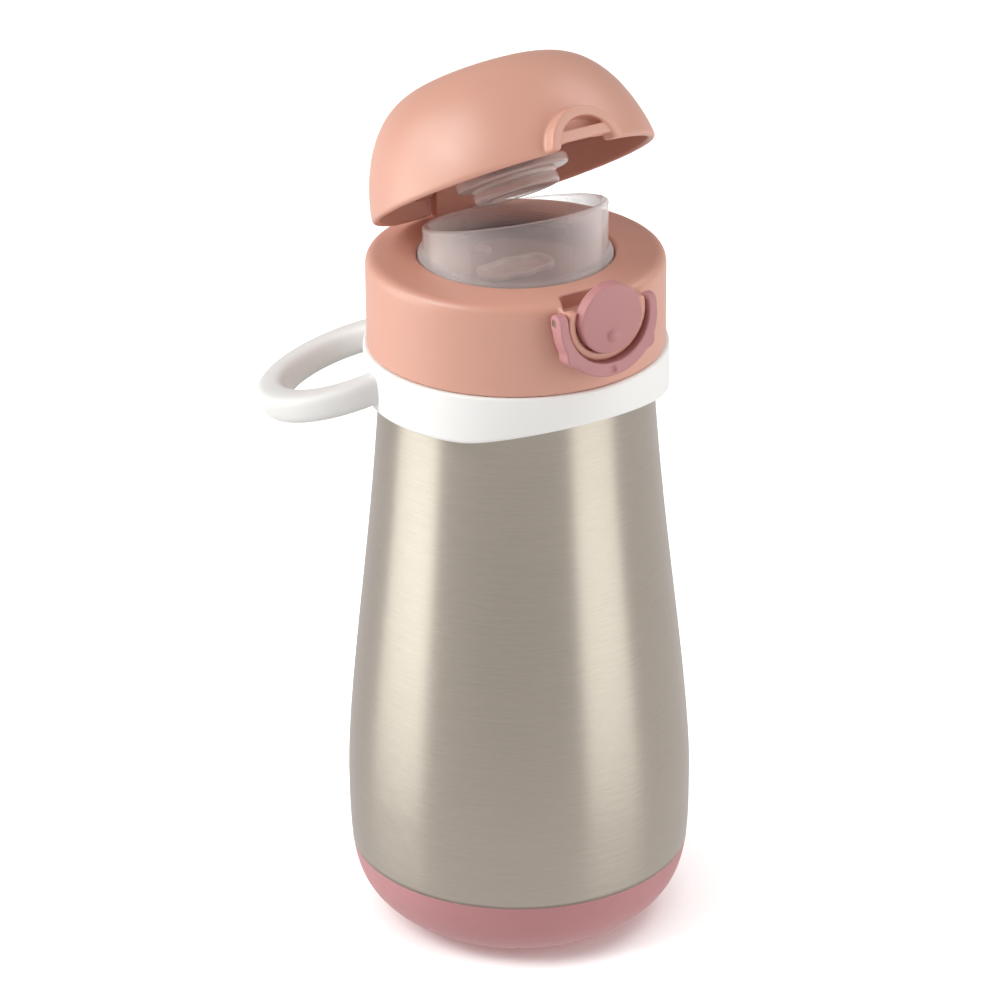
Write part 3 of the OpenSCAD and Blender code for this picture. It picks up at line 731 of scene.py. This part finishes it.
def plug():
    """Clear holder and the soft stepped plug under it."""
    soft = 0.6
    edge_r = 12.2
    carrier = ([(0.01, CARRIER_LOW), (11.6, CARRIER_LOW)]
               + arc(edge_r, CARRIER_LOW + soft, soft, -90, 0, 4)
               + arc(edge_r, CARRIER_HIGH - soft, soft, 0, 90, 4)
               + [(STEM_R, CARRIER_HIGH), (STEM_R, STEM_TOP), (0.01, STEM_TOP)])
    points, faces = turned(carrier, 128, closed=False)
    new_piece("plug_carrier", opened(points), faces, "lid", plug_milk, ["plug_holder"])
    stepped = ([(0.01, -2.2), (5.5, -2.2), (6.2, -2.9)] + arc(8.9, -2.1, 0.8, -90, 0, 6)
               + [(9.7, -0.9), (9.3, -0.6)] + arc(9.2, 0.15, 0.5, -60, 90, 6) + [(0.01, 0.68)])
    points, faces = turned(stepped, 128, closed=False)
    new_piece("soft_plug", opened(points), faces, "lid", plug_milk, ["seal_plug"])


# ---- Catch

def button_field(x, y, z):
    front = -y
    r = np.hypot(x, z - BUTTON_Z)
    crown = CROWN * np.clip(1 - (r / BUTTON_R) ** 2, 0, 1)
    plate = common(r - BUTTON_R, common(PLATE_BACK - front, front - PLATE_FRONT - crown), 0.5)
    bump = ball(x, z - BUTTON_Z + BUMP_DROP, front - PLATE_FRONT + 0.65, 1.95)
    plate = join(plate, bump, 0.25)
    top = BUTTON_Z + BUTTON_R
    nose = block(x, front, z, (-2.8, PLATE_BACK - 0.2, top - 2), (2.8, PLATE_BACK + 1.3, top + 0.15), 1.1)
    hub = disc(front + PIVOT_Y, z - PIVOT_Z, x, 1.7, -8, 8, 0.3)
    solid = join(join(plate, nose, 0.3), hub, 0.5)
    spring_seat = disc(x, z - BUTTON_Z + SPRING_DROP, front, 2.2, 34, PLATE_BACK + 1.1, 0.2)
    return cut(cut(solid, spring_seat), np.hypot(front + PIVOT_Y, z - PIVOT_Z) - LATCH_PIN_R - 0.05)


def button():
    points, faces = surface(button_field, (-9.6, -40.4, 149.8), (9.6, -31.6, 169.6), step=0.16)
    new_piece("push_button", points, faces, "button", latch_pink, ["latch_button"])


def bail_field(x, y, z):
    c, s = math.cos(BAIL_LEAN), math.sin(BAIL_LEAN)
    dy, dz = y - PIVOT_Y, z - PIVOT_Z
    front = -(dy * c - dz * s)
    up = dy * s + dz * c + PIVOT_Z
    above = up - BUTTON_Z
    inner = np.hypot(x, np.minimum(above, 0)) - BAIL_IN_R
    outer = np.hypot(x, np.minimum(above + 0.9, 0)) - BAIL_OUT_R
    corner = np.hypot(abs(x) - 9.9, above + 7.7) - 1.5
    outline = cut(join(outer, corner, 1.2), inner)
    knuckle = disc(dy, dz, abs(x), 1.95, BAIL_IN_R, BAIL_OUT_R, 0.4)
    plate_mid = (BAIL_FRONT - BAIL_BACK) / 2
    plate_half = (BAIL_FRONT + BAIL_BACK) / 2
    plate = np.hypot(front - plate_mid, np.maximum(up - PIVOT_Z, 0)) - plate_half
    solid = common(outline, plate, 0.5)
    solid = join(solid, knuckle, 0.4)
    solid = common(solid, COLLAR_R + 1.1 - np.hypot(x, y), 1.0)
    pit = ball(x, above + PIT_DROP, front - BAIL_FRONT - 0.6, 1.1)
    solid = cut(solid, pit, 0.3)
    return cut(solid, np.hypot(dy, dz) - LATCH_PIN_R - 0.05, 0.1)


def bail():
    points, faces = surface(bail_field, (-15, -40, 144), (15, -29.5, 164), step=0.18)
    new_piece("bail_bracket", points, faces, "bail", latch_pink, ["lock_bail"])


# ---- Scene

def carried_over():
    """Finishes of the CAD nodes that stay as they are."""
    finishes = {
        "inner_vessel": inner_steel, "vacuum_base_cap": inner_steel, "vacuum_getter": getter_metal,
        "bottle_seal": seal_milk, "threaded_liner": liner_grey, "vent_valve": valve_milk,
        "hinge_pin": pin_steel, "latch_pin": pin_steel, "button_spring": pin_steel,
    }
    for node, material in finishes.items():
        mesh = frame["nodes"][node].data
        mesh.materials.clear()
        mesh.materials.append(material)


def plain(name, colour, rough):
    s = Shader(name)
    s.colour(s.ramp(s.noise(3, 2), 0, 1), scaled(colour, 0.99), colour)
    return s.set(Roughness=rough).material


def floor():
    size = 1.5
    mesh = bpy.data.meshes.new("floor")
    corners = [(-size, -size, 0), (size, -size, 0), (size, size, 0), (-size, size, 0)]
    mesh.from_pydata(corners, [], [(0, 1, 2, 3)])
    mesh.materials.append(plain("floor_white", (0.93, 0.93, 0.93, 1), 0.9))
    thing = bpy.data.objects.new("floor", mesh)
    bpy.context.scene.collection.objects.link(thing)
    thing.visible_glossy = False
    thing.visible_diffuse = False


def backdrop():
    """White studio wall all round, seen by the camera only, so it neither lights nor mirrors."""
    around = 48
    far = 3.5
    angles = np.linspace(0, 2 * math.pi, around, endpoint=False)
    points = [(far * math.cos(a), far * math.sin(a), z) for z in (-3, 4) for a in angles]
    mesh = bpy.data.meshes.new("backdrop")
    mesh.from_pydata(points, [], grid_faces(2, around))
    s = Shader("backdrop_white")
    s.set(Emission_Strength=1.0, Roughness=1.0, Base_Color=(0, 0, 0, 1))
    s.colour(s.ramp(s.noise(2, 2), 0, 1), (1, 1, 1, 1), (1.02, 1.02, 1.02, 1), "Emission Color")
    mesh.materials.append(s.material)
    thing = bpy.data.objects.new("backdrop", mesh)
    bpy.context.scene.collection.objects.link(thing)
    thing.visible_diffuse = thing.visible_glossy = thing.visible_transmission = False
    thing.visible_shadow = False


CAMERA_AZ = -33.4
CAMERA_EL = 25.27
CAMERA_FAR = 1.103
CAMERA_ROLL = math.radians(-0.40)
TARGET = Vector((0, 0, 0.093))


def direction(azimuth, elevation):
    a, e = math.radians(azimuth), math.radians(elevation)
    return Vector((math.sin(a) * math.cos(e), -math.cos(a) * math.cos(e), math.sin(e)))


def camera():
    data = bpy.data.cameras.new("camera")
    data.lens = 174.2
    data.sensor_width = 36
    data.shift_x = -0.0176
    data.shift_y = 0.0353
    data.clip_start, data.clip_end = 0.05, 20
    thing = bpy.data.objects.new("camera", data)
    bpy.context.scene.collection.objects.link(thing)
    back = direction(CAMERA_AZ, CAMERA_EL)
    thing.location = TARGET + back * CAMERA_FAR
    roll = Matrix.Rotation(CAMERA_ROLL, 4, "Z").to_quaternion()
    thing.rotation_euler = ((-back).to_track_quat("-Z", "Y") @ roll).to_euler()
    bpy.context.scene.camera = thing


def softbox(name, azimuth, elevation, far, width, height, power, colour=(1, 1, 1)):
    """An area light that faces the middle of the bottle. Azimuth counts from the camera's."""
    data = bpy.data.lights.new(name, "AREA")
    data.shape = "RECTANGLE"
    data.size, data.size_y = width, height
    data.energy = power
    data.color = colour
    thing = bpy.data.objects.new(name, data)
    thing.visible_camera = False
    bpy.context.scene.collection.objects.link(thing)
    back = direction(CAMERA_AZ + azimuth, elevation)
    thing.location = TARGET + back * far
    thing.rotation_euler = (-back).to_track_quat("-Z", "Y").to_euler()
    return thing


def lighting():
    softbox("softbox_left", -86, 13, 1.3, 1.1, 1.4, 13, (0.97, 1, 0.96))
    softbox("softbox_right", 63, 13, 1.3, 0.95, 1.4, 8.2, (0.97, 1, 0.96))
    softbox("softbox_top", -70, 46, 1.4, 0.8, 0.7, 8)
    softbox("softbox_back", 112, 48, 1.4, 0.8, 0.7, 4.5)
    sky = softbox("floor_light", 0, 89, 3, 4, 4, 105)
    only_floor = bpy.data.collections.new("lit_by_floor_light")
    only_floor.objects.link(bpy.data.objects["floor"])
    sky.light_linking.receiver_collection = only_floor
    # the world is brighter below the horizon, as light from a pale table top would be
    world = bpy.data.worlds.new("world")
    world.use_nodes = True
    nodes, links = world.node_tree.nodes, world.node_tree.links
    nodes["Background"].inputs["Color"].default_value = (1, 0.965, 0.955, 1)
    split = nodes.new("ShaderNodeSeparateXYZ")
    links.new(nodes.new("ShaderNodeTexCoord").outputs["Generated"], split.inputs[0])
    fade = nodes.new("ShaderNodeMapRange")
    for key, value in (("From Min", -0.2), ("From Max", 0.15), ("To Min", 0.82), ("To Max", 0.25)):
        fade.inputs[key].default_value = value
    links.new(split.outputs["Z"], fade.inputs["Value"])
    links.new(fade.outputs["Result"], nodes["Background"].inputs["Strength"])
    bpy.context.scene.world = world
    bpy.context.scene.view_settings.view_transform = "Standard"


camera()
floor()
backdrop()
lighting()
carried_over()
steel_body()
thread()
boot()
band()
loop()
collar()
spout()
valve()
lid()
plug()
button()
bail()

bpy.context.view_layer.update()
